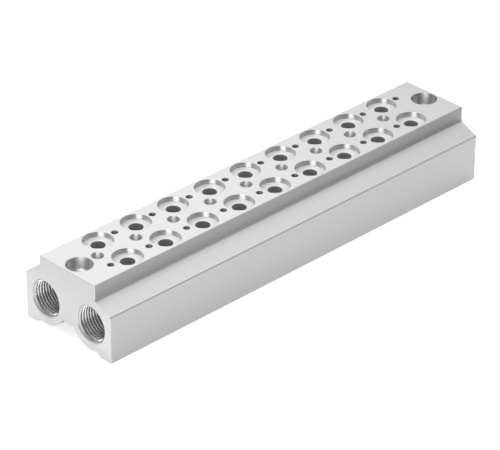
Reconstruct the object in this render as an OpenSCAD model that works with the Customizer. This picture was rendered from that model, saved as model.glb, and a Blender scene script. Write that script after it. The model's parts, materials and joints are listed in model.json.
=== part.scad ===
// Manifold plate for a row of valves: one drawn aluminium bar, sawn to length, machined and drilled.
// X runs along the plate, Y across it and Z up. The origin is under the middle, on the plane of the feet.

/* [Plate] */
// Number of valve stations in the row
stations = 9; // [1:1:14]
// Distance between the middles of neighbouring stations
station_pitch = 27; // [25:0.5:40]
// Distance from an end face to the middle of the nearest station
end_margin = 32; // [31:0.5:60]
// Width from side face to side face
plate_width = 66; // [63:0.5:80]
// Height from the feet to the machined top
plate_height = 42; // [40:0.5:60]
// Size of the break on the sharp outer edges
edge_break = 0.3; // [0.1:0.1:0.8]

/* [Top and shoulders] */
// Width of the raised strip that carries the valves
strip_width = 43; // [41:0.5:50]
// Height of the strip's upright walls
strip_height = 9.3; // [5:0.1:11]
// Fall of a shoulder from the strip's wall to the side face
shoulder_fall = 5.1; // [1:0.1:7]
// Radius of the hollow where a strip wall meets its shoulder
shoulder_hollow = 1.2; // [0.4:0.1:3]
// Radius between a shoulder and the side face
side_round = 0.8; // [0.3:0.1:3]

/* [Underside] */
// Width of each of the two feet
foot_width = 7.8; // [5:0.1:9]
// Angle of a foot's inner flank above the ground
foot_flank_angle = 45; // [30:1:60]
// Height of the flat roof of the channel between the gallery walls
channel_height = 9.6; // [7:0.1:12]
// Radius in the inner corners of the underside
underside_fillet = 1; // [0.4:0.1:1.6]

/* [Galleries and end ports] */
// Distance between the two galleries that run the whole length
gallery_spacing = 35.2; // [34:0.1:37]
// Height of the galleries' axes above the feet
gallery_height = 17; // [16:0.1:19]
// Bore of a gallery, which is also the drill size of its threads
gallery_diameter = 18.6; // [15:0.1:18.6]
// Wall left round a gallery on the underside
gallery_wall = 5.8; // [4:0.1:6.5]
// Outer diameter of the pipe thread at both ends of a gallery
end_port_diameter = 20.955; // [20:0.005:21.5]
// Depth of the pipe thread from the end face
end_port_depth = 15; // [10:0.5:20]
// Size of the chamfer at the mouth of a pipe thread
end_port_chamfer = 0.6; // [0.2:0.1:1.2]

/* [Valve stations] */
// Distance between the two rows of valve ports
port_row_spacing = 23; // [22:0.5:24]
// Diameter of the flat recess that takes the seal round a valve port
recess_diameter = 17.2; // [13:0.1:18]
// Depth of the seal recess
recess_depth = 3; // [1:0.1:5]
// Drill size of a valve port, which opens into its gallery
valve_port_diameter = 8.2; // [5:0.1:10]
// Height above its gallery's axis at which a valve port's drill stops
valve_port_stop = 2; // [1:0.1:4]
// Outer diameter of the thread of a valve screw
screw_diameter = 4; // [3:0.1:5]
// Depth of a valve screw's threaded hole
screw_depth = 10; // [6:0.5:12]
// Distance of each of a station's two screws from its middle, along the plate
screw_offset = 11.8; // [11.5:0.1:13]
// Diameter of the blind locating hole beside a station
locator_diameter = 7.2; // [4:0.1:7.5]
// Depth of the locating hole
locator_depth = 8; // [3:0.5:12]
// Distance of the locating hole from the station's middle, along the plate
locator_offset = 10.6; // [9.5:0.1:11]

/* [Mounting holes] */
// Distance of a mounting screw from its end face
mounting_inset = 8.8; // [8.5:0.1:9.2]
// Clearance hole of a mounting screw
mounting_diameter = 9; // [6:0.1:9]
// Counterbore for the head of a mounting screw
head_diameter = 15; // [12:0.1:15]
// Depth of the counterbore
head_depth = 7; // [3:0.5:10]

/* [Hidden] */
$fn = 96;

drill_point_angle = 118;
// How far a cut runs past the surface that it opens, and a fillet into the metal behind it
overlap = 1;
// How far a rounding's circle runs past its edges, so that their outlines cross and don't just touch
crossing = 0.002;

plate_length = (stations - 1) * station_pitch + 2 * end_margin;
half_length = plate_length / 2;
half_width = plate_width / 2;
half_strip = strip_width / 2;

shoulder_angle = atan2(shoulder_fall, half_width - half_strip);
shoulder_normal = [sin(shoulder_angle), cos(shoulder_angle)];
wall_foot = plate_height - strip_height;
side_top = wall_foot - shoulder_fall;

gallery_centre = [gallery_spacing / 2, gallery_height];
gallery_outer_radius = gallery_diameter / 2 + gallery_wall;
foot_inner_edge = half_width - foot_width;

function unit(v) = v / sqrt(v * v);

// Where a straight line meets a circle. The line passes through start along the unit vector way,
// and of its two crossings this is the one further along way.
function line_on_circle(centre, radius, start, way) =
    let (gap = start - centre,
         along = gap * way,
         reach = sqrt(along * along - gap * gap + radius * radius))
    start + (reach - along) * way;

// The piece between a circle and two edges that it touches: the metal that a fillet adds, or that a
// rounding takes away. first and second are unit vectors from the centre to the points of contact.
module corner_piece(centre, radius, first, second) {
    reach = radius + overlap;
    translate(centre) difference() {
        polygon([[0, 0], reach * first, reach * (first + second) / (1 + first * second), reach * second]);
        circle(r = radius + crossing);
    }
}

// Takes off the outer corner between the shoulder and the side face.
module shoulder_corner(radius) {
    centre = [half_width - radius, side_top + radius * tan(shoulder_angle) - radius / cos(shoulder_angle)];
    corner_piece(centre, radius, [1, 0], shoulder_normal);
}

// Fills the inner corner between the strip's wall and the shoulder.
module strip_hollow(radius) {
    centre = [half_strip + radius, wall_foot - radius * tan(shoulder_angle) + radius / cos(shoulder_angle)];
    corner_piece(centre, radius, [-1, 0], -shoulder_normal);
}

// Fills the corner between a straight edge of the underside and the round wall of a gallery. way is
// the unit vector along the edge, away from the corner, and inward the one from the metal outwards.
module underside_corner(edge_point, way, inward) {
    centre = line_on_circle(gallery_centre, gallery_outer_radius + underside_fillet,
                            edge_point + underside_fillet * inward, way);
    corner_piece(centre, underside_fillet, -inward, unit(gallery_centre - centre));
}

// One half of the bar's section, from a little past the middle out to the right.
module half_section() {
    flank_way = [cos(foot_flank_angle), -sin(foot_flank_angle)];
    flank_inward = [-sin(foot_flank_angle), -cos(foot_flank_angle)];
    difference() {
        union() {
            polygon([[-overlap, 0], [half_width, 0], [half_width, side_top], [half_strip, wall_foot],
                     [half_strip, plate_height - edge_break], [half_strip - edge_break, plate_height],
                     [-overlap, plate_height]]);
            strip_hollow(shoulder_hollow);
        }
        shoulder_corner(side_round);
        difference() {
            polygon([[-2 * overlap, -overlap], [foot_inner_edge, -overlap], [foot_inner_edge, 0],
                     [foot_inner_edge - channel_height / tan(foot_flank_angle), channel_height],
                     [-2 * overlap, channel_height]]);
            translate(gallery_centre) circle(r = gallery_outer_radius);
            underside_corner([0, channel_height], [-1, 0], [0, -1]);
            underside_corner([foot_inner_edge, 0], flank_way, flank_inward);
        }
    }
}

module section() {
    half_section();
    mirror([1, 0]) half_section();
}

// A hole drilled down from the origin, with the cone that the drill leaves.
module drilled(diameter, depth) {
    radius = diameter / 2;
    point_height = radius / tan(drill_point_angle / 2);
    rotate_extrude()
        polygon([[0, overlap], [radius, overlap], [radius, -depth], [0, -depth - point_height]]);
}

// A gallery with a threaded port at each end.
module gallery() {
    port_length = end_port_depth + overlap;
    mouth_radius = end_port_diameter / 2 + end_port_chamfer;
    rotate([0, 90, 0]) cylinder(h = plate_length, d = gallery_diameter, center = true);
    for (turn = [0, 180]) rotate([0, 0, turn]) translate([half_length, 0, 0]) rotate([0, 90, 0]) {
        translate([0, 0, -end_port_depth]) cylinder(h = port_length, d = end_port_diameter);
        translate([0, 0, -end_port_chamfer])
            cylinder(h = 2 * end_port_chamfer, r1 = end_port_diameter / 2,
                     r2 = mouth_radius + end_port_chamfer);
    }
}

// The holes under one valve, seen from above with the station's middle at the origin.
module station() {
    port_depth = plate_height - gallery_height - valve_port_stop;
    for (side = [-1, 1]) {
        translate([0, side * port_row_spacing / 2, 0]) {
            translate([0, 0, -recess_depth]) cylinder(h = recess_depth + overlap, d = recess_diameter);
            drilled(valve_port_diameter, port_depth);
        }
        translate([side * screw_offset, side * port_row_spacing / 2, 0])
            drilled(screw_diameter, screw_depth);
    }
    translate([-locator_offset, 0, 0]) drilled(locator_diameter, locator_depth);
}

module mounting_hole() {
    translate([0, 0, -plate_height]) cylinder(h = plate_height, d = mounting_diameter);
    translate([0, 0, -head_depth]) cylinder(h = head_depth + overlap, d = head_diameter);
}

// A long square bar on its corner, which takes edge_break off an edge that runs along X.
module edge_cutter(reach) {
    rotate([45, 0, 0]) cube([reach, edge_break * sqrt(2), edge_break * sqrt(2)], center = true);
}

// Breaks the edges of one end face along the top, the strip walls and the side faces.
module end_edge_breaks() {
    translate([half_length, 0, plate_height]) rotate([0, 0, 90]) edge_cutter(plate_width);
    for (side = [-1, 1]) {
        translate([half_length, side * half_strip, plate_height])
            rotate([0, 90, 0]) edge_cutter(2 * (strip_height - shoulder_hollow));
        translate([half_length, side * half_width, 0])
            rotate([0, 90, 0]) edge_cutter(2 * (side_top - side_round));
    }
}

module manifold_body() {
    color([0.87, 0.88, 0.89]) difference() {
        rotate([90, 0, 90]) linear_extrude(height = plate_length, center = true) section();
        for (side = [-1, 1])
            translate([0, side * gallery_spacing / 2, gallery_height]) gallery();
        for (place = [0 : stations - 1])
            translate([end_margin - half_length + place * station_pitch, 0, plate_height]) station();
        for (turn = [0, 180]) rotate([0, 0, turn]) {
            translate([half_length - mounting_inset, 0, plate_height]) mounting_hole();
            end_edge_breaks();
        }
    }
}

manifold_body();
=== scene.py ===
"""Looks of a manifold plate: a drawn aluminium bar with milled faces, turned holes and cut threads.

Everything is in metres in the part's own frame: X along the plate, Y across it and Z up.
"""

import json
import logging
import math
from dataclasses import dataclass
from enum import Enum, auto

import bmesh
import bpy
from bpy.types import Material, Node, NodeOutputs, NodeSocket, NodeTree, Object
from mathutils import Matrix, Vector


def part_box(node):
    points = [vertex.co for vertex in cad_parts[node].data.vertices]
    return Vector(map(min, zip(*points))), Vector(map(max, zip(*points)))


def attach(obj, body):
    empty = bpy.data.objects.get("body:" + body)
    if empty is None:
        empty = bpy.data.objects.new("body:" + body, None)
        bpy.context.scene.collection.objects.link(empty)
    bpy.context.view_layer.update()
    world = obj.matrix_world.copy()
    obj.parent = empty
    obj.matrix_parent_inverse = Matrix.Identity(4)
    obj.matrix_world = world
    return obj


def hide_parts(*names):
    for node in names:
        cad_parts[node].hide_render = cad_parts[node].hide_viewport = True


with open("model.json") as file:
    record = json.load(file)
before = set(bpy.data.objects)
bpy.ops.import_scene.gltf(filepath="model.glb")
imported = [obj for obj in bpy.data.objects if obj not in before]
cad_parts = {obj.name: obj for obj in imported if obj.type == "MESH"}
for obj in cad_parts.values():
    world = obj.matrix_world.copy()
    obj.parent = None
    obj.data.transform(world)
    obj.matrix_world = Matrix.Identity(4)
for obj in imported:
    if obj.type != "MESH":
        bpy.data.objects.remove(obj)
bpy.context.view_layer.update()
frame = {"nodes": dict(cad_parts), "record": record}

LOG = logging.getLogger("manifold_plate")
MM = 0.001
INCH = 25.4 * MM
BODY = "root"
PLATE_NODE = "manifold_body"
# Distance of a row of valve ports from the plate's middle line
PORT_OFFSET = 11.5 * MM
# A point, a direction or three angles
Triple = tuple[float, float, float]
# Angles of a copy that isn't turned
UNTURNED = (0.0, 0.0, 0.0)
# Turn between two faces from which the edge between them is sharp
SHARP_ANGLE = math.radians(28)
# Places of a Mix node's colour inputs and colour output, whose names its other types share
MIX_FROM, MIX_TO, MIX_COLOUR = 6, 7, 2


def linear(hex_colour: str) -> tuple[float, float, float, float]:
    """Turns an sRGB hex colour into linear light.

    Args:
        hex_colour: Six hex digits after a hash sign.

    Returns:
        Red, green, blue and an alpha of 1, as a shader socket takes them.
    """
    channels = [int(hex_colour[i:i + 2], 16) / 255 for i in (1, 3, 5)]
    red, green, blue = (c / 12.92 if c <= 0.04045 else ((c + 0.055) / 1.055) ** 2.4 for c in channels)
    return red, green, blue, 1.0


def add_node(tree: NodeTree, kind: str, settings: dict | None = None, inputs: dict | None = None) -> Node:
    """Adds one node to a tree, with its settings and links.

    Args:
        tree: The node tree that takes the node.
        kind: The identifier of the node's type.
        settings: Values of the node's own properties, by name.
        inputs: A value or another node's output for each input, by name or place.

    Returns:
        The new node.
    """
    node = tree.nodes.new(kind)
    for name, value in (settings or {}).items():
        setattr(node, name, value)
    for key, value in (inputs or {}).items():
        if isinstance(value, NodeSocket):
            tree.links.new(value, node.inputs[key])
        else:
            node.inputs[key].default_value = value
    return node


def bare_tree(owner: Material | bpy.types.World) -> NodeTree:
    """Empties the node tree of a material or a world.

    Args:
        owner: The material or world.

    Returns:
        Its tree.
    """
    owner.use_nodes = True
    owner.node_tree.nodes.clear()
    return owner.node_tree


def add_object(name: str, data: bpy.types.ID) -> Object:
    """Adds an object to the scene, at the origin.

    Args:
        name: Name of the object.
        data: Its mesh, lamp or camera.

    Returns:
        The new object.
    """
    thing = bpy.data.objects.new(name, data)
    bpy.context.scene.collection.objects.link(thing)
    return thing


class Axis(Enum):
    """The directions that lines or a hole can follow, as places in a vector."""

    X = 0
    Z = 2


@dataclass(frozen=True)
class Finish:
    """A bare aluminium surface, told apart by how the tool left it. Some finishes also hold painted shade in
    their colour.

    Attributes:
        name: The material's name.
        colour: Colour of the clean metal.
        shade: Colour of the metal in the pattern's hollows.
        roughness: How far the surface blurs a reflection.
        relief_mm: Height of the pattern.
        metallic: Share of the light that the bare metal mirrors. The oxide scatters the rest.
        stretch: How much more the marks blur a reflection across themselves than along themselves.
    """

    name: str
    colour: str
    shade: str
    roughness: float
    relief_mm: float
    metallic: float = 1.0
    stretch: float = 0.0

    def pattern(self, tree: NodeTree, place: NodeSocket) -> NodeSocket:
        """Gives the pattern's height, from 0 to 1, at a place on the surface.

        Args:
            tree: The material's node tree.
            place: Output that holds the place in object coordinates.

        Returns:
            The output that holds the height.
        """
        raise NotImplementedError

    def across(self, tree: NodeTree, place: NodeSocket) -> NodeSocket | None:
        """Gives the direction across the tool marks, where the finish has such marks.

        Args:
            tree: The material's node tree.
            place: Output that holds the place in object coordinates.

        Returns:
            The output that holds the direction, or None for an even finish.
        """
        return None

    def build(self) -> Material:
        """Makes the material.

        Returns:
            The material, with its pattern in colour and relief.
        """
        material = bpy.data.materials.new(self.name)
        tree = bare_tree(material)
        place = add_node(tree, "ShaderNodeTexCoord").outputs["Object"]
        height = self.pattern(tree, place)
        tone = add_node(tree, "ShaderNodeMix", {"data_type": "RGBA"}, {
            "Factor": height, MIX_FROM: linear(self.shade), MIX_TO: linear(self.colour)})
        relief = add_node(tree, "ShaderNodeBump", inputs={
            "Height": height, "Strength": 1.0, "Distance": self.relief_mm * MM})
        shader = add_node(tree, "ShaderNodeBsdfPrincipled", inputs={
            "Base Color": tone.outputs[MIX_COLOUR], "Metallic": self.metallic, "Roughness": self.roughness,
            "Anisotropic": self.stretch, "Normal": relief.outputs["Normal"]})
        across = self.across(tree, place)
        if across is not None:
            tree.links.new(across, shader.inputs["Tangent"])
        add_node(tree, "ShaderNodeOutputMaterial", inputs={"Surface": shader.outputs["BSDF"]})
        return material


@dataclass(frozen=True)
class GrainFinish(Finish):
    """A face with an even fine grain, as a fine mill and the anodising bath leave it.

    Attributes:
        grain_mm: Width of one grain.
    """

    grain_mm: float = 0.6

    def pattern(self, tree: NodeTree, place: NodeSocket) -> NodeSocket:
        """Gives the grain's height at a place: see Finish.pattern."""
        noise = add_node(tree, "ShaderNodeTexNoise", inputs={
            "Vector": place, "Scale": 1 / (self.grain_mm * MM), "Detail": 2.0, "Roughness": 0.6})
        return noise.outputs["Fac"]


@dataclass(frozen=True)
class LineFinish(Finish):
    """A face with fine straight lines along the bar, as a drawing die or the side of a mill leaves them.

    Attributes:
        along: Direction of the lines.
        line_mm: Width of one line.
        length_mm: Length over which a line fades.
    """

    along: Axis = Axis.X
    line_mm: float = 0.5
    length_mm: float = 60.0

    def pattern(self, tree: NodeTree, place: NodeSocket) -> NodeSocket:
        """Gives the lines' height at a place: see Finish.pattern."""
        scale = [1 / (self.line_mm * MM)] * 3
        scale[self.along.value] = 1 / (self.length_mm * MM)
        stretched = add_node(tree, "ShaderNodeMapping", inputs={"Vector": place, "Scale": scale})
        noise = add_node(tree, "ShaderNodeTexNoise", inputs={
            "Vector": stretched.outputs["Vector"], "Scale": 1.0, "Detail": 2.0, "Roughness": 0.5})
        return noise.outputs["Fac"]


@dataclass(frozen=True)
class RingFinish(Finish):
    """A wall with fine rings round its axis, as a drill or a boring tool leaves them.

    Attributes:
        along: Direction of the hole's axis.
        feed_mm: Distance between rings, the tool's feed.
    """

    along: Axis = Axis.Z
    feed_mm: float = 0.5

    def pattern(self, tree: NodeTree, place: NodeSocket) -> NodeSocket:
        """Gives the rings' height at a place: see Finish.pattern."""
        split = add_node(tree, "ShaderNodeSeparateXYZ", inputs={0: place})
        noise = add_node(tree, "ShaderNodeTexNoise", {"noise_dimensions": "1D"}, {
            "W": split.outputs[self.along.value], "Scale": 1 / (self.feed_mm * MM), "Detail": 1.0})
        return noise.outputs["Fac"]

    def across(self, tree: NodeTree, place: NodeSocket) -> NodeSocket:
        """Gives the hole's axis, which runs across the rings: see Finish.across."""
        axis = [0.0, 0.0, 0.0]
        axis[self.along.value] = 1.0
        return add_node(tree, "ShaderNodeCombineXYZ", inputs=dict(enumerate(axis))).outputs[0]


@dataclass(frozen=True)
class TurnedFinish(Finish):
    """A flat floor with fine circles round its hole, as a spot facer leaves them at each valve port.

    Attributes:
        feed_mm: Distance between circles.
        pitch: Distance between stations, one of which is in the middle of the plate.
        row_offset: Distance of a row of ports from the plate's middle line.
    """

    feed_mm: float = 0.35
    pitch: float = 27 * MM
    row_offset: float = PORT_OFFSET

    def from_port(self, tree: NodeTree, place: NodeSocket) -> NodeSocket:
        """Gives the way from the axis of the nearest valve port to a place.

        Args:
            tree: The material's node tree.
            place: Output that holds the place in object coordinates.

        Returns:
            The output that holds the flat vector.
        """
        split = add_node(tree, "ShaderNodeSeparateXYZ", inputs={0: place}).outputs
        along = add_node(tree, "ShaderNodeMath", {"operation": "WRAP"}, {
            0: split[0], 1: self.pitch / 2, 2: -self.pitch / 2})
        side = add_node(tree, "ShaderNodeMath", {"operation": "SIGN"}, {0: split[1]})
        beside = add_node(tree, "ShaderNodeMath", {"operation": "MULTIPLY_ADD"}, {
            0: side.outputs[0], 1: -self.row_offset, 2: split[1]})
        way = add_node(tree, "ShaderNodeCombineXYZ", inputs={0: along.outputs[0], 1: beside.outputs[0]})
        return way.outputs[0]

    def pattern(self, tree: NodeTree, place: NodeSocket) -> NodeSocket:
        """Gives the circles' height at a place: see Finish.pattern."""
        way = self.from_port(tree, place)
        radius = add_node(tree, "ShaderNodeVectorMath", {"operation": "LENGTH"}, {0: way})
        noise = add_node(tree, "ShaderNodeTexNoise", {"noise_dimensions": "1D"}, {
            "W": radius.outputs["Value"], "Scale": 1 / (self.feed_mm * MM), "Detail": 1.0})
        return noise.outputs["Fac"]

    def across(self, tree: NodeTree, place: NodeSocket) -> NodeSocket:
        """Gives the way out from the port, which runs across the circles: see Finish.across."""
        return self.from_port(tree, place)


class Zone(Enum):
    """The surfaces of the plate that one tool each has made."""

    DRAWN_SKIN = auto()
    STRIP_WALL = auto()
    MILLED_TOP = auto()
    SAWN_END = auto()
    FACED_FLOOR = auto()
    HEAD_SEAT = auto()
    BORED_WALL = auto()
    COUNTERBORE = auto()
    REAMED_HOLE = auto()
    DRILLED_HOLE = auto()
    GALLERY = auto()
    THREAD_ROOT = auto()
    BROKEN_EDGE = auto()


# Cut pipe thread: bright crests, with the hollows between them left in shade.
PIPE_THREAD_FINISH = RingFinish("cut_thread_aluminium", "#f6f6f6", "#e8e8e8", roughness=0.24,
                                relief_mm=0.001, along=Axis.X, feed_mm=0.4)
# Start of the pipe thread, cut back by a countersink: painted a darker, duller grey than the thread behind
# it, as painted shade that dulls the bright ring at the mouth.
SHADED_THREAD_START_FINISH = GrainFinish("countersunk_aluminium_painted_shade", "#a4a4a4", "#989898", roughness=0.3,
                                 relief_mm=0.001, grain_mm=0.8)
# Tapped screw thread: so fine that it looks dark from above, and painted a dark grey as painted shade in the
# holes.
SHADED_SCREW_THREAD_FINISH = RingFinish("tapped_aluminium_painted_shade", "#9b9b9b", "#878787", roughness=0.45,
                                 relief_mm=0.002, feed_mm=0.2)
FINISHES: dict[Zone, Finish] = {
    # Drawn bar, clear anodised: a satin grey, with faint lines along the bar.
    Zone.DRAWN_SKIN: LineFinish("drawn_anodised_aluminium", "#d8d8d8", "#d0d0d0", roughness=0.34,
                                relief_mm=0.002),
    # Upright walls of the strip, dressed with the side of the mill: duller than the skin, and painted darker
    # than it as painted shade at the foot of the strip.
    Zone.STRIP_WALL: LineFinish("side_milled_aluminium_painted_shade", "#d0d0d0", "#c2c2c2", roughness=0.5,
                                relief_mm=0.004),
    # Face milled and anodised: pale, with a fine sparkle of grain.
    Zone.MILLED_TOP: GrainFinish("milled_anodised_aluminium", "#fbfbfb", "#d3d3d3", roughness=0.36,
                                 relief_mm=0.009),
    # Cut ends, cleaned up with a fine mill: matt and even.
    Zone.SAWN_END: GrainFinish("end_milled_aluminium", "#f0f0f0", "#e8e8e8", roughness=0.42,
                               relief_mm=0.003, grain_mm=0.9),
    # Spot-faced floors of the seal recesses: the brightest metal, whose circles catch light from above.
    Zone.FACED_FLOOR: TurnedFinish("spot_faced_aluminium", "#ffffff", "#fcfcfc", roughness=0.55,
                                   relief_mm=0.002, metallic=0.3, stretch=0.6),
    # Floors of the counterbores: even and satin, so that they mirror the walls round them.
    Zone.HEAD_SEAT: GrainFinish("head_seat_aluminium", "#d4d4d4", "#c2c2c2", roughness=0.45,
                                relief_mm=0.003, grain_mm=0.8),
    # Walls of the recesses: greyer, with turned rings that stretch a highlight from rim to floor.
    Zone.BORED_WALL: RingFinish("bored_aluminium", "#d3d3d3", "#c9c9c9", roughness=0.42,
                                relief_mm=0.003, stretch=1.0, feed_mm=0.5),
    # Counterbores and mounting holes: the same rings, coarser, and a little darker grey as painted shade deep
    # in the holes.
    Zone.COUNTERBORE: RingFinish("counterbored_aluminium_painted_shade", "#cecece", "#b8b8b8", roughness=0.42,
                                 relief_mm=0.008, stretch=0.7, feed_mm=0.8),
    # Locating holes, reamed to size: satin, so that a highlight spreads round the wall.
    Zone.REAMED_HOLE: RingFinish("reamed_aluminium", "#e7e7e7", "#d5d5d5", roughness=0.5,
                                 relief_mm=0.006, metallic=0.85, stretch=0.8, feed_mm=0.3),
    # Drilled holes: rough and dull, so that they stay dark grey inside.
    Zone.DRILLED_HOLE: RingFinish("drilled_aluminium", "#c3c3c3", "#ababab", roughness=0.6,
                                  relief_mm=0.01, metallic=0.5, stretch=0.3, feed_mm=0.6),
    # Walls of the long galleries: rings again, duller because the drill is long.
    Zone.GALLERY: RingFinish("drilled_gallery_aluminium", "#c1c1c1", "#adadad", roughness=0.4,
                             relief_mm=0.01, stretch=0.4, along=Axis.X, feed_mm=1.2),
    # Bottom of the pipe thread, cut by the same tap as its ridges.
    Zone.THREAD_ROOT: PIPE_THREAD_FINISH,
    # Broken edges: narrow bright lines.
    Zone.BROKEN_EDGE: GrainFinish("broken_edge_aluminium", "#ececec", "#e2e2e2", roughness=0.25,
                                  relief_mm=0.001, grain_mm=0.8),
}


@dataclass(frozen=True)
class PlateSizes:
    """Sizes of the plate in metres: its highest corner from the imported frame, the rest as in its source.

    Attributes:
        high: Highest corner of the plate's box.
        recess_depth: Depth of the seal recesses below the top.
        recess_radius: Radius of a seal recess.
        head_depth: Depth of the two counterbores below the top.
        head_radius: Radius of a counterbore.
        mounting_offset: Distance of a mounting hole from the plate's middle.
        mouth_depth: Depth of the pipe threads from the end faces.
        mouth_chamfer: Size of the chamfer at the mouth of a pipe thread.
        strip_half_width: Half the width of the raised strip.
        port_offset: Distance of a valve port from the plate's middle line.
        port_radius: Radius of a valve port.
        screw_offset: Distance of a valve screw from its station's middle, along the plate.
        screw_radius: Radius of a valve screw's hole.
        locator_offset: Distance of a locating hole from its station's middle, along the plate.
        locator_radius: Radius of a locating hole.
        locator_depth: Depth of a locating hole's wall.
    """

    high: Vector
    recess_depth: float = 3 * MM
    recess_radius: float = 8.6 * MM
    head_depth: float = 7 * MM
    head_radius: float = 7.5 * MM
    mounting_offset: float = 131.2 * MM
    mouth_depth: float = 15 * MM
    mouth_chamfer: float = 0.6 * MM
    strip_half_width: float = 21.5 * MM
    port_offset: float = PORT_OFFSET
    port_radius: float = 4.1 * MM
    screw_offset: float = 11.8 * MM
    screw_radius: float = 2 * MM
    locator_offset: float = 10.6 * MM
    locator_radius: float = 3.6 * MM
    locator_depth: float = 8 * MM

    @classmethod
    def from_frame(cls) -> "PlateSizes":
        """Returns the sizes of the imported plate."""
        return cls(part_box(PLATE_NODE)[1])


def mounts_of(kind: str) -> list[dict]:
    """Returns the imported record's mounts of one kind."""
    return [mount for mount in frame["record"]["mounts"] if mount["kind"] == kind]


def station_middles() -> list[Vector]:
    """Returns the middle of each valve station, on the top of the strip."""
    return [Vector(mount["pos_m"]) for mount in mounts_of("bolt_pattern") if "pcd_mm" in mount["dims"]]


@dataclass
class PlateSkin:
    """The machined bar itself, with each surface in its own finish.

    A lean is the part of a face's normal along an axis, from 0 for a face along it to 1 for one across it.

    Attributes:
        sizes: Sizes of the plate.
        tolerance: How far a face may lie from its plane or axis.
        merge_distance: Distance at which two corners of the mesh are one.
        flat_lean: Least lean of a flat face that looks along an axis.
        chamfer_lean: Least and greatest lean of a chamfer at the mouth of a gallery.
        bar_lean: Greatest lean along X of a face that runs along the bar.
        wall_lean: Greatest lean along Z of a flat upright wall.
        underside_lean: Least lean of the underside, which looks down.
        hole_lean: Greatest lean along Z of a face in a hole, drill point included.
        edge_zone: Distance from an end face within which the top has broken edges and no holes.
        mouth_margin: How far the chamfered mouth of a gallery reaches past its thread.
    """

    sizes: PlateSizes
    tolerance: float = 0.05 * MM
    merge_distance: float = 1e-7
    flat_lean: float = 0.999
    chamfer_lean: tuple[float, float] = (0.5, 0.9)
    bar_lean: float = 1e-4
    wall_lean: float = 1e-3
    underside_lean: float = 0.5
    hole_lean: float = 0.9
    edge_zone: float = 1 * MM
    mouth_margin: float = 1.2 * MM

    def zone_of(self, centre: Vector, normal: Vector) -> Zone:
        """Tells which tool made a face.

        Args:
            centre: Middle of the face.
            normal: Direction out of the metal.

        Returns:
            The face's zone.
        """
        sizes = self.sizes
        depth = sizes.high.z - centre.z
        from_end = sizes.high.x - abs(centre.x)
        beside_strip = abs(centre.y) - sizes.strip_half_width
        if normal.z > self.flat_lean:
            levels = {Zone.MILLED_TOP: 0.0, Zone.FACED_FLOOR: sizes.recess_depth,
                      Zone.HEAD_SEAT: sizes.head_depth}
            for zone, level in levels.items():
                if abs(depth - level) < self.tolerance:
                    return zone
        if abs(normal.x) > self.flat_lean and from_end < self.tolerance:
            return Zone.SAWN_END
        if self.in_gallery(centre):
            least, greatest = self.chamfer_lean
            if least < abs(normal.x) < greatest:
                return Zone.BROKEN_EDGE
            return Zone.THREAD_ROOT if from_end < sizes.mouth_depth - self.tolerance else Zone.GALLERY
        if abs(normal.x) < self.bar_lean:
            on_outside = beside_strip > -self.tolerance or normal.z < -self.underside_lean
            upright = abs(normal.z) < self.wall_lean
            if on_outside and upright and beside_strip < self.tolerance:
                return Zone.STRIP_WALL
            if on_outside or not upright:
                return Zone.DRAWN_SKIN
        in_strip = beside_strip < -self.tolerance and from_end > self.edge_zone
        if in_strip and abs(normal.z) < self.hole_lean:
            return self.hole_zone(centre)
        return Zone.BROKEN_EDGE

    def hole_zone(self, centre: Vector) -> Zone:
        """Tells which tool made the wall of a hole in the top.

        Args:
            centre: Middle of a face of the wall.

        Returns:
            The wall's zone.
        """
        sizes = self.sizes
        for middle in station_middles():
            x, y = centre.x - middle.x, abs(centre.y - middle.y)
            from_locator = math.hypot(x + sizes.locator_offset, y)
            from_port = math.hypot(x, y - sizes.port_offset)
            from_screw = math.hypot(abs(x) - sizes.screw_offset, y - sizes.port_offset)
            for distance, radius, zone in ((from_locator, sizes.locator_radius, Zone.REAMED_HOLE),
                                           (from_port, sizes.port_radius, Zone.DRILLED_HOLE),
                                           (from_screw, sizes.screw_radius, Zone.DRILLED_HOLE),
                                           (from_port, sizes.recess_radius, Zone.BORED_WALL)):
                if distance < radius + self.tolerance:
                    return zone
        return Zone.COUNTERBORE

    def in_gallery(self, centre: Vector) -> bool:
        """Tells whether a face lies on the wall of a gallery or of its threaded mouth."""
        return any(math.hypot(centre.y - mount["pos_m"][1], centre.z - mount["pos_m"][2])
                   < mount["dims"]["r_mm"] * MM + self.mouth_margin for mount in mounts_of("threaded_hole"))

    def build(self) -> Object:
        """Makes the plate from the frame's own mesh, merged and dressed zone by zone.

        Returns:
            The plate, which stands for the plain node.
        """
        zones = list(Zone)
        mesh = frame["nodes"][PLATE_NODE].data.copy()
        mesh.name = "plate_skin"
        mesh.materials.clear()
        for zone in zones:
            mesh.materials.append(FINISHES[zone].build())
        work = bmesh.new()
        work.from_mesh(mesh)
        bmesh.ops.remove_doubles(work, verts=work.verts, dist=self.merge_distance)
        work.normal_update()
        for face in work.faces:
            face.material_index = zones.index(self.zone_of(face.calc_center_median(), face.normal))
            face.smooth = True
        work.to_mesh(mesh)
        work.free()
        # The frame's own normals belong to its loose triangles
        mesh.attributes.remove(mesh.attributes["custom_normal"])
        mesh.set_sharp_from_angle(angle=SHARP_ANGLE)
        plate = add_object("plate_skin", mesh)
        plate.modifiers.new("even_flats", "WEIGHTED_NORMAL").keep_sharp = True
        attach(plate, BODY)
        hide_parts(PLATE_NODE)
        return plate


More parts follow.
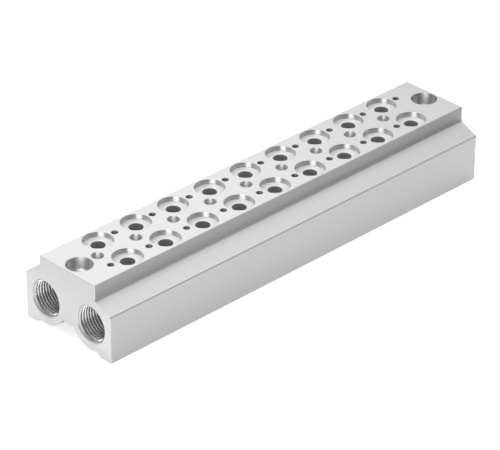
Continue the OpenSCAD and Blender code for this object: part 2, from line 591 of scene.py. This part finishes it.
@dataclass
class NodePiece:
    """A piece whose node tree makes one copy and sets it at several places.

    Attributes:
        name: Name of the piece.
        places: Place of each copy, with its turn as angles about X, Y and Z.
    """

    name: str
    places: list[tuple[Vector, Triple]]

    def values(self) -> dict[str, float | int]:
        """Gives the sizes that the tree takes as inputs.

        Returns:
            A size or a whole number for each input, by name.
        """
        raise NotImplementedError

    def copy(self, tree: NodeTree, given: NodeOutputs) -> NodeSocket:
        """Adds the nodes that make one copy, whose place is the origin.

        Args:
            tree: The piece's node tree.
            given: The tree's inputs, by name.

        Returns:
            The output that holds the copy.
        """
        raise NotImplementedError

    def tree(self) -> NodeTree:
        """Makes the node tree.

        Returns:
            The tree, with the piece's sizes as named inputs.
        """
        tree = bpy.data.node_groups.new(f"{self.name}_maker", "GeometryNodeTree")
        sockets = {"Places": "Geometry"}
        for name, value in self.values().items():
            sockets[name] = "Int" if isinstance(value, int) else "Float"
        sockets["Finish"] = "Material"
        for name, kind in sockets.items():
            tree.interface.new_socket(name, in_out="INPUT", socket_type=f"NodeSocket{kind}")
        tree.interface.new_socket("Piece", in_out="OUTPUT", socket_type="NodeSocketGeometry")
        given = add_node(tree, "NodeGroupInput").outputs
        facing = add_node(tree, "GeometryNodeInputNamedAttribute", {"data_type": "FLOAT_VECTOR"}, {
            "Name": "facing"})
        turn = add_node(tree, "FunctionNodeEulerToRotation", inputs={0: facing.outputs[0]})
        copies = add_node(tree, "GeometryNodeInstanceOnPoints", inputs={
            "Points": given["Places"], "Instance": self.copy(tree, given), "Rotation": turn.outputs[0]})
        real = add_node(tree, "GeometryNodeRealizeInstances", inputs={0: copies.outputs[0]})
        smooth = add_node(tree, "GeometryNodeSetShadeSmooth", inputs={0: real.outputs[0]})
        dressed = add_node(tree, "GeometryNodeSetMaterial", inputs={
            "Geometry": smooth.outputs[0], "Material": given["Finish"]})
        add_node(tree, "NodeGroupOutput", inputs={0: dressed.outputs[0]})
        return tree

    def build(self, material: Material) -> Object:
        """Makes every copy, as one piece.

        Args:
            material: Finish of the piece.

        Returns:
            The piece, as a plain mesh that rides on the plate's body.
        """
        points = bpy.data.meshes.new(f"{self.name}_places")
        points.from_pydata([place for place, _ in self.places], [], [])
        facing = points.attributes.new("facing", "FLOAT_VECTOR", "POINT")
        facing.data.foreach_set("vector", [angle for _, turn in self.places for angle in turn])
        maker = add_object(f"{self.name}_maker", points)
        modifier = maker.modifiers.new("maker", "NODES")
        modifier.node_group = self.tree()
        values = {**self.values(), "Finish": material}
        for item in modifier.node_group.interface.items_tree:
            if item.in_out == "INPUT" and item.name in values:
                modifier[item.identifier] = values[item.name]
        evaluated = maker.evaluated_get(bpy.context.evaluated_depsgraph_get())
        mesh = bpy.data.meshes.new_from_object(evaluated)
        mesh.name = self.name
        bpy.data.objects.remove(maker)
        piece = add_object(self.name, mesh)
        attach(piece, BODY)
        return piece


@dataclass
class RoundWalls(NodePiece):
    """The turned skin on the walls of one kind of hole: a thin ring just proud of the wall.

    It is the same metal. A lamp can be kept to it, and so to these walls alone.
    The place of a copy is the middle of its hole, on the top.

    Attributes:
        radius: Radius of the hole.
        depth: Depth of the wall below the top.
        skin: Thickness of the ring.
        proud: How far the ring stands out of the wall, more than its facets do.
        rim_gap: How far the ring stays from the top and floor of its hole.
        steps: Straight stretches round the ring.
    """

    radius: float
    depth: float
    skin: float = 0.12 * MM
    proud: float = 0.07 * MM
    rim_gap: float = 0.01 * MM
    steps: int = 128

    def values(self) -> dict[str, float | int]:
        """Gives the ring's sizes: see NodePiece.values."""
        return {"Middle Radius": self.radius - self.proud + self.skin / 2, "Skin": self.skin,
                "Height": self.depth - 2 * self.rim_gap, "Middle Height": -self.depth / 2,
                "Steps": self.steps}

    def copy(self, tree: NodeTree, given: NodeOutputs) -> NodeSocket:
        """Sweeps one ring: see NodePiece.copy."""
        circle = add_node(tree, "GeometryNodeCurvePrimitiveCircle", inputs={
            "Resolution": given["Steps"], "Radius": given["Middle Radius"]})
        upright = add_node(tree, "GeometryNodeSetCurveNormal", {"mode": "Z_UP"}, {"Curve": circle.outputs[0]})
        outline = add_node(tree, "GeometryNodeCurvePrimitiveQuadrilateral", {"mode": "RECTANGLE"}, {
            "Width": given["Skin"], "Height": given["Height"]})
        ring = add_node(tree, "GeometryNodeCurveToMesh", inputs={
            "Curve": upright.outputs[0], "Profile Curve": outline.outputs[0]})
        down = add_node(tree, "ShaderNodeCombineXYZ", inputs={2: given["Middle Height"]})
        sunk = add_node(tree, "GeometryNodeTransform", inputs={
            "Geometry": ring.outputs[0], "Translation": down.outputs[0]})
        return sunk.outputs[0]

    def build(self, material: Material) -> Object:
        """Makes the rings, with sharp rims: see NodePiece.build."""
        piece = super().build(material)
        piece.data.set_sharp_from_angle(angle=SHARP_ANGLE)
        return piece


@dataclass
class HelicalThread(NodePiece):
    """The ridges of one kind of internal thread, right-handed, at every hole that has it.

    The place of a copy is the mouth of its hole, and its turn takes +Z out of the mouth.

    Attributes:
        root_radius: Radius at the bottom of the thread, which is the hole's wall.
        pitch: Distance from one ridge to the next.
        ridge_height: Height of a ridge above the wall.
        crest_share: Width of a ridge's unrounded crest, as a share of the pitch.
        foot_share: Width of a ridge's foot, as a share of the pitch.
        length: Length of the thread along the axis.
        steps: Straight stretches in one turn.
        rounding: Radius of a ridge's corners.
        chamfer: Size of the chamfer at the mouth.
        corner_steps: Straight stretches in a ridge's rounded corner.
        sink: How far a ridge's foot reaches into the wall.
        clearance: How far the ridges stay behind the mouth's plane and chamfer.
        cut_slope: Growth of the cone that cuts the ridges back, for each step towards the mouth.
    """

    root_radius: float
    pitch: float
    ridge_height: float
    crest_share: float
    foot_share: float
    length: float
    steps: int
    rounding: float = 0.0
    chamfer: float = 0.0
    corner_steps: int = 4
    sink: float = 0.06 * MM
    clearance: float = 0.02 * MM
    cut_slope: float = 2.0

    def values(self) -> dict[str, float | int]:
        """Gives the thread's sizes: see NodePiece.values."""
        full_height = self.ridge_height + self.sink
        return {
            "Root Radius": self.root_radius, "Length": self.length, "Turns": self.length / self.pitch,
            "Ridge Height": full_height, "Ridge Shift": self.sink - full_height / 2,
            "Crest Width": self.crest_share * self.pitch, "Foot Width": self.foot_share * self.pitch,
            "Rounding": self.rounding, "Corner Steps": self.corner_steps, "Steps": self.steps,
            "Cut Radius": self.root_radius + self.cut_slope * self.chamfer + self.clearance,
            "Cut Slope": self.cut_slope, "Highest": -self.clearance}

    def copy(self, tree: NodeTree, given: NodeOutputs) -> NodeSocket:
        """Sweeps one ridge and cuts it back at its start: see NodePiece.copy."""
        # Reversed, the spiral is right-handed: plain, it turns clockwise as it climbs
        spiral = add_node(tree, "GeometryNodeCurveSpiral", inputs={
            "Resolution": given["Steps"], "Rotations": given["Turns"], "Start Radius": given["Root Radius"],
            "End Radius": given["Root Radius"], "Height": given["Length"], "Reverse": True})
        upright = add_node(tree, "GeometryNodeSetCurveNormal", {"mode": "Z_UP"}, {"Curve": spiral.outputs[0]})
        outline = add_node(tree, "GeometryNodeCurvePrimitiveQuadrilateral", {"mode": "TRAPEZOID"}, {
            "Height": given["Ridge Height"], "Bottom Width": given["Foot Width"],
            "Top Width": given["Crest Width"], "Offset": 0.0})
        rounded = add_node(tree, "GeometryNodeFilletCurve", {"mode": "POLY"}, {
            "Curve": outline.outputs[0], "Radius": given["Rounding"], "Limit Radius": True,
            "Count": given["Corner Steps"]})
        inward = add_node(tree, "ShaderNodeCombineXYZ", inputs={0: given["Ridge Shift"]})
        profile = add_node(tree, "GeometryNodeTransform", inputs={
            "Geometry": rounded.outputs[0], "Translation": inward.outputs[0],
            "Rotation": (0.0, 0.0, math.pi / 2)})
        ridge = add_node(tree, "GeometryNodeCurveToMesh", inputs={
            "Curve": upright.outputs[0], "Profile Curve": profile.outputs[0], "Fill Caps": True})
        sunk = add_node(tree, "GeometryNodeTransform", inputs={
            "Geometry": ridge.outputs[0], "Rotation": (math.pi, 0.0, 0.0)})

        place = add_node(tree, "GeometryNodeInputPosition")
        split = add_node(tree, "ShaderNodeSeparateXYZ", inputs={0: place.outputs[0]}).outputs
        flat = add_node(tree, "ShaderNodeCombineXYZ", inputs={0: split[0], 1: split[1]})
        length = add_node(tree, "ShaderNodeVectorMath", {"operation": "LENGTH"}, {0: flat.outputs[0]})
        radius = length.outputs["Value"]
        cone = add_node(tree, "ShaderNodeMath", {"operation": "MULTIPLY_ADD"}, {
            0: split[2], 1: given["Cut Slope"], 2: given["Cut Radius"]})
        kept = add_node(tree, "ShaderNodeMath", {"operation": "MAXIMUM"}, {0: radius, 1: cone.outputs[0]})
        growth = add_node(tree, "ShaderNodeMath", {"operation": "DIVIDE"}, {0: kept.outputs[0], 1: radius})
        wide = add_node(tree, "ShaderNodeVectorMath", {"operation": "SCALE"}, {
            0: flat.outputs[0], "Scale": growth.outputs[0]})
        low = add_node(tree, "ShaderNodeMath", {"operation": "MINIMUM"}, {0: split[2], 1: given["Highest"]})
        height = add_node(tree, "ShaderNodeCombineXYZ", inputs={2: low.outputs[0]})
        moved = add_node(tree, "ShaderNodeVectorMath", {"operation": "ADD"}, {
            0: wide.outputs[0], 1: height.outputs[0]})
        cut = add_node(tree, "GeometryNodeSetPosition", inputs={
            "Geometry": sunk.outputs[0], "Position": moved.outputs[0]})
        return cut.outputs[0]


@dataclass
class Threads:
    """The pipe threads at the galleries' ends and the screw threads under the valves.

    Attributes:
        sizes: Sizes of the plate.
        countersink_reach: Depth to which a countersink has cut back the start of a pipe thread, over which
            the thread gets painted shade.
    """

    sizes: PlateSizes
    countersink_reach: float = 1.2 * MM

    def pipe_thread(self) -> HelicalThread:
        """Sets out the pipe thread, 14 turns to the inch.

        Returns:
            The thread, in the four gallery mouths.
        """
        mouths = []
        mounts = mounts_of("threaded_hole")
        for mount in mounts:
            _, y, z = mount["pos_m"]
            way = mount["axis"][0]
            mouths.append((Vector((way * self.sizes.high.x, y, z)), (0.0, way * math.pi / 2, 0.0)))
        radius = mounts[0]["dims"]["r_mm"] * MM
        pitch = INCH / 14
        return HelicalThread(
            "pipe_threads", mouths, root_radius=radius, pitch=pitch, ridge_height=1.162 * MM,
            crest_share=1 / 6, foot_share=5 / 6, rounding=0.137 * pitch, length=14.5 * MM,
            chamfer=self.sizes.mouth_chamfer, steps=96)

    def shade_thread_starts(self, piece: Object, material: Material) -> None:
        """Paints shade on the start of each pipe thread, which a countersink has cut back: a darker material
        that dulls the bright ring at the mouth.

        Args:
            piece: The ridges of the pipe threads.
            material: Darker material of the countersunk part, which is painted shade.
        """
        place = len(piece.data.materials)
        piece.data.materials.append(material)
        for face in piece.data.polygons:
            if self.sizes.high.x - abs(face.center.x) < self.countersink_reach:
                face.material_index = place

    def screw_thread(self) -> HelicalThread:
        """Sets out the fine screw thread.

        Returns:
            The thread, in the two holes of each station.
        """
        mouths = []
        for middle in station_middles():
            for side in (-1, 1):
                offset = Vector((side * self.sizes.screw_offset, side * self.sizes.port_offset, 0.0))
                mouths.append((middle + offset, UNTURNED))
        return HelicalThread(
            "screw_threads", mouths, root_radius=self.sizes.screw_radius, pitch=0.7 * MM,
            ridge_height=0.38 * MM, crest_share=1 / 4, foot_share=7 / 8, length=9.5 * MM, steps=24)


def turned_walls(sizes: PlateSizes) -> list[Object]:
    """Makes the turned skins of the walls in the top.

    Args:
        sizes: Sizes of the plate.

    Returns:
        The walls of the seal recesses, of the locating holes and of the counterbores.
    """
    stations = station_middles()
    ports = [Vector((0.0, side * sizes.port_offset, 0.0)) for side in (-1, 1)]
    recesses = [(middle + port, UNTURNED) for middle in stations for port in ports]
    locators = [(middle - Vector((sizes.locator_offset, 0.0, 0.0)), UNTURNED) for middle in stations]
    heads = [(Vector((side * sizes.mounting_offset, 0.0, sizes.high.z)), UNTURNED) for side in (-1, 1)]
    walls = {
        Zone.BORED_WALL: RoundWalls("recess_walls", recesses, sizes.recess_radius, sizes.recess_depth),
        Zone.REAMED_HOLE: RoundWalls("locator_walls", locators, sizes.locator_radius, sizes.locator_depth),
        Zone.COUNTERBORE: RoundWalls("counterbore_walls", heads, sizes.head_radius, sizes.head_depth)}
    return [rings.build(FINISHES[zone].build()) for zone, rings in walls.items()]


def around(azimuth: float, elevation: float, distance: float) -> Vector:
    """Returns the point in a direction from the plate, in degrees from +X and above the horizon."""
    turn = Matrix.Rotation(math.radians(azimuth), 3, "Z") @ Matrix.Rotation(-math.radians(elevation), 3, "Y")
    return turn @ Vector((distance, 0.0, 0.0))


@dataclass(frozen=True)
class Card:
    """A flat card of even tone, which only the metal mirrors.

    Attributes:
        name: Name of the card.
        corners: Its four corners, in order.
        colour: The tone that it shows in the metal.
    """

    name: str
    corners: tuple[Triple, ...]
    colour: str

    def build(self) -> None:
        """Sets up the card as part of the stage."""
        mesh = bpy.data.meshes.new(self.name)
        mesh.from_pydata(self.corners, [], [(0, 1, 2, 3)])
        material = bpy.data.materials.new(f"{self.name}_cloth")
        tree = bare_tree(material)
        cloth = add_node(tree, "ShaderNodeEmission", inputs={"Color": linear(self.colour), "Strength": 1.0})
        add_node(tree, "ShaderNodeOutputMaterial", inputs={"Surface": cloth.outputs[0]})
        mesh.materials.append(material)
        card = add_object(self.name, mesh)
        card.visible_camera = False
        card.visible_diffuse = False
        card.visible_shadow = False


@dataclass(frozen=True)
class Softbox:
    """One soft lamp.

    Attributes:
        name: Name of the lamp.
        place: Middle of the lamp's face.
        size: Width and height of the lamp.
        level: Brightness of its face, where 1 is white.
        in_soft_light: Whether it also lights what scatters light. Metal mirrors it in any case.
        aim: Point that the lamp looks at.
    """

    name: str
    place: Vector
    size: tuple[float, float]
    level: float
    in_soft_light: bool = False
    aim: Triple = (0.0, 0.0, 0.0)

    def build(self) -> Object:
        """Hangs the lamp.

        Returns:
            The lamp.
        """
        lamp = bpy.data.lights.new(self.name, "AREA")
        lamp.shape = "RECTANGLE"
        lamp.size, lamp.size_y = self.size
        lamp.energy = self.level * math.pi * lamp.size * lamp.size_y
        holder = add_object(self.name, lamp)
        holder.location = self.place
        holder.rotation_euler = (self.place - Vector(self.aim)).to_track_quat("Z", "Y").to_euler()
        holder.visible_camera = False
        holder.visible_diffuse = self.in_soft_light
        return holder


# Cards round the plate and on the floor. Each face mirrors some of them, blurred by its finish.
CARDS = (
    Card("far_card", ((0.48, -0.42, 0.0), (0.48, -0.42, 0.36), (0.48, 0.50, 0.36), (0.48, 0.50, 0.0)),
         "#d2d2d2"),
    Card("front_card", ((-0.50, -0.75, 0.0), (-0.50, -0.75, 0.30), (0.48, -0.42, 0.30), (0.48, -0.42, 0.0)),
         "#787878"),
    Card("floor_card", ((-0.10, -0.387, 0.001), (0.25, -0.74, 0.001), (0.70, -0.28, 0.001),
                        (0.35, 0.07, 0.001)), "#787878"),
    Card("end_card", ((-0.178, 0.01, 0.001), (-0.50, 0.01, 0.001), (-0.50, 0.60, 0.001),
                      (-0.178, 0.60, 0.001)), "#dedede"),
    Card("near_card", ((-0.145, -0.25, 0.001), (-0.40, -0.25, 0.001), (-0.40, 0.0, 0.001),
                       (-0.145, 0.0, 0.001)), "#ffffff"),
)
SOFTBOXES = (
    # Light on the whole plate, from behind and above.
    Softbox("back_softbox", around(115.0, 50.0, 0.85), (0.5, 0.5), 1.0, in_soft_light=True),
    Softbox("top_softbox", around(20.0, 62.0, 1.1), (0.6, 0.6), 0.25, in_soft_light=True),
    # Light for the walls of the holes in the top, which draws a bright streak down each.
    Softbox("side_softbox", around(203.0, 25.0, 1.3), (0.84, 1.0), 5.6),
    Softbox("front_softbox", around(220.0, 25.0, 1.3), (1.1, 1.0), 5.4),
    # Light for the pipe threads alone, which picks out their ridges.
    Softbox("floor_softbox", Vector((-0.26, 0.0, 0.002)), (0.22, 0.30), 1.1, aim=(-0.26, 0.0, 1.0)),
    Softbox("left_softbox", around(182.0, 15.0, 0.9), (0.55, 0.5), 0.8),
)


def light_only(lamp: Object, pieces: list[Object]) -> None:
    """Keeps a lamp's light to some pieces, as a flag in front of the lamp would.

    Args:
        lamp: The lamp.
        pieces: The pieces that it lights.
    """
    lit = bpy.data.collections.new(f"lit_by_{lamp.name}")
    for piece in pieces:
        lit.objects.link(piece)
    lamp.light_linking.receiver_collection = lit


@dataclass(frozen=True)
class Studio:
    """A pale floor, a white background, the cards and the lamps.

    Attributes:
        floor_size: Side of the square floor.
        floor_gap: How far the floor lies below the plate's feet, so that the two never clash.
        light_from: Direction of the room's bright part.
        bright_edge: Cosine of the angle from there at which the bright part has faded out.
        dim: Strength of the room away from the light, as metal mirrors it.
        bright: Strength of the room towards the light, as metal mirrors it.
        plain: Strength of the even light that falls on the floor.
        mirrored_glow: Light that the floor adds to its own where metal mirrors it.
        seen_glow: Light that the floor adds to its own where the camera sees it.
    """

    floor_size: float = 6.0
    floor_gap: float = 0.2 * MM
    light_from: Triple = (0.35, 0.53, 0.77)
    bright_edge: float = 0.3
    dim: float = 0.42
    bright: float = 1.07
    plain: float = 0.77
    mirrored_glow: float = 0.22
    seen_glow: float = 0.6

    def room(self) -> None:
        """Makes the world: white to the camera, and brightest behind the plate where metal mirrors it."""
        world = bpy.data.worlds.new("studio_room")
        bpy.context.scene.world = world
        tree = bare_tree(world)
        ray = add_node(tree, "ShaderNodeLightPath").outputs
        direction = add_node(tree, "ShaderNodeTexCoord").outputs["Generated"]
        facing = add_node(tree, "ShaderNodeVectorMath", {"operation": "DOT_PRODUCT"}, {
            0: direction, 1: Vector(self.light_from).normalized()})
        share = add_node(tree, "ShaderNodeMapRange", {"interpolation_type": "SMOOTHSTEP"}, {
            "Value": facing.outputs["Value"], "From Min": self.bright_edge, "From Max": 1.0,
            "To Min": self.dim, "To Max": self.bright})
        white = linear("#ffffff")
        mirrored = add_node(tree, "ShaderNodeBackground", inputs={
            "Color": white, "Strength": share.outputs[0]})
        even = add_node(tree, "ShaderNodeBackground", inputs={"Color": white, "Strength": self.plain})
        shown = add_node(tree, "ShaderNodeBackground", inputs={"Color": white, "Strength": 1.0})
        lit = add_node(tree, "ShaderNodeMixShader", inputs={
            0: ray["Is Glossy Ray"], 1: even.outputs[0], 2: mirrored.outputs[0]})
        direct = add_node(tree, "ShaderNodeMath", {"operation": "MAXIMUM"}, {
            0: ray["Is Camera Ray"], 1: ray["Is Transmission Ray"]})
        seen = add_node(tree, "ShaderNodeMixShader", inputs={
            0: direct.outputs[0], 1: lit.outputs[0], 2: shown.outputs[0]})
        add_node(tree, "ShaderNodeOutputWorld", inputs={"Surface": seen.outputs[0]})

    def paper(self) -> Material:
        """Makes the floor's white paper, which keeps a faint shadow and is clear when seen from below.

        Returns:
            The material.
        """
        material = bpy.data.materials.new("white_paper")
        tree = bare_tree(material)
        ray = add_node(tree, "ShaderNodeLightPath").outputs
        mirrored = add_node(tree, "ShaderNodeMath", {"operation": "MAXIMUM"}, {
            0: ray["Is Glossy Ray"], 1: ray["Is Transmission Ray"]})
        mirrored_glow = add_node(tree, "ShaderNodeMath", {"operation": "MULTIPLY"}, {
            0: mirrored.outputs[0], 1: self.mirrored_glow})
        strength = add_node(tree, "ShaderNodeMath", {"operation": "MULTIPLY_ADD"}, {
            0: ray["Is Camera Ray"], 1: self.seen_glow, 2: mirrored_glow.outputs[0]})
        paper = add_node(tree, "ShaderNodeBsdfDiffuse", inputs={"Color": linear("#f4f4f4")})
        glow = add_node(tree, "ShaderNodeEmission", inputs={
            "Color": linear("#ffffff"), "Strength": strength.outputs[0]})
        both = add_node(tree, "ShaderNodeAddShader", inputs={0: paper.outputs[0], 1: glow.outputs[0]})
        clear = add_node(tree, "ShaderNodeBsdfTransparent")
        below = add_node(tree, "ShaderNodeNewGeometry").outputs["Backfacing"]
        seen = add_node(tree, "ShaderNodeMixShader", inputs={
            0: below, 1: both.outputs[0], 2: clear.outputs[0]})
        add_node(tree, "ShaderNodeOutputMaterial", inputs={"Surface": seen.outputs[0]})
        return material

    def floor(self) -> None:
        """Lays the floor as part of the stage."""
        half, low = self.floor_size / 2, -self.floor_gap
        mesh = bpy.data.meshes.new("floor")
        corners = [(-half, -half, low), (half, -half, low), (half, half, low), (-half, half, low)]
        mesh.from_pydata(corners, [], [(0, 1, 2, 3)])
        mesh.materials.append(self.paper())
        floor = add_object("floor", mesh)

    def build(self) -> dict[str, Object]:
        """Makes the room, the floor, the cards and the lamps.

        Returns:
            The lamps, by name.
        """
        self.room()
        self.floor()
        for card in CARDS:
            card.build()
        return {softbox.name: softbox.build() for softbox in SOFTBOXES}


@dataclass(frozen=True)
class PhotoCamera:
    """The camera of the photograph, solved from the plate's corners and holes.

    Attributes:
        azimuth: Turn about the vertical, in degrees, from looking along +Y.
        elevation: Height of the view above the horizon, in degrees.
        roll: Turn about the line of sight, in degrees.
        distance: Distance from the aim.
        aim: Point in the middle of the picture.
        lens_mm: Focal length.
        sensor_mm: Width of the sensor.
    """

    azimuth: float = -44.63
    elevation: float = 30.38
    roll: float = 0.32
    distance: float = 1.6506
    aim: Triple = (-0.0001, 0.0075, 0.0090)
    lens_mm: float = 216.0
    sensor_mm: float = 36.0

    def build(self) -> None:
        """Makes the camera and sets it as the scene's own."""
        turn = (Matrix.Rotation(math.radians(self.azimuth), 4, "Z")
                @ Matrix.Rotation(math.radians(90 - self.elevation), 4, "X")
                @ Matrix.Rotation(math.radians(self.roll), 4, "Z"))
        lens = bpy.data.cameras.new("photo_camera")
        lens.lens = self.lens_mm
        lens.sensor_width = self.sensor_mm
        camera = add_object("photo_camera", lens)
        back = turn.to_3x3() @ Vector((0, 0, 1))
        camera.matrix_world = Matrix.Translation(Vector(self.aim) + self.distance * back) @ turn
        bpy.context.scene.camera = camera


def main() -> None:
    """Builds the camera, the studio and each piece of the plate, in that order."""
    logging.basicConfig(level=logging.INFO, format="%(name)s: %(message)s")
    bpy.context.scene.view_settings.view_transform = "Standard"
    PhotoCamera().build()
    lamps = Studio().build()
    sizes = PlateSizes.from_frame()
    plate = PlateSkin(sizes).build()
    threads = Threads(sizes)
    pipe_threads = threads.pipe_thread().build(PIPE_THREAD_FINISH.build())
    # The starts of the pipe threads get a darker material: painted shade at the mouths.
    threads.shade_thread_starts(pipe_threads, SHADED_THREAD_START_FINISH.build())
    # The screw threads carry painted shade: a dark grey for their holes.
    screw_threads = threads.screw_thread().build(SHADED_SCREW_THREAD_FINISH.build())
    recess_walls, locator_walls, counterbore_walls = turned_walls(sizes)
    light_only(lamps["side_softbox"], [recess_walls, counterbore_walls, screw_threads])
    light_only(lamps["front_softbox"], [locator_walls, counterbore_walls])
    light_only(lamps["floor_softbox"], [pipe_threads])
    light_only(lamps["left_softbox"], [pipe_threads])
    for piece in (plate, pipe_threads, screw_threads, recess_walls, locator_walls, counterbore_walls):
        LOG.info("%s: %d faces", piece.name, len(piece.data.polygons))


if __name__ == "__main__":
    main()
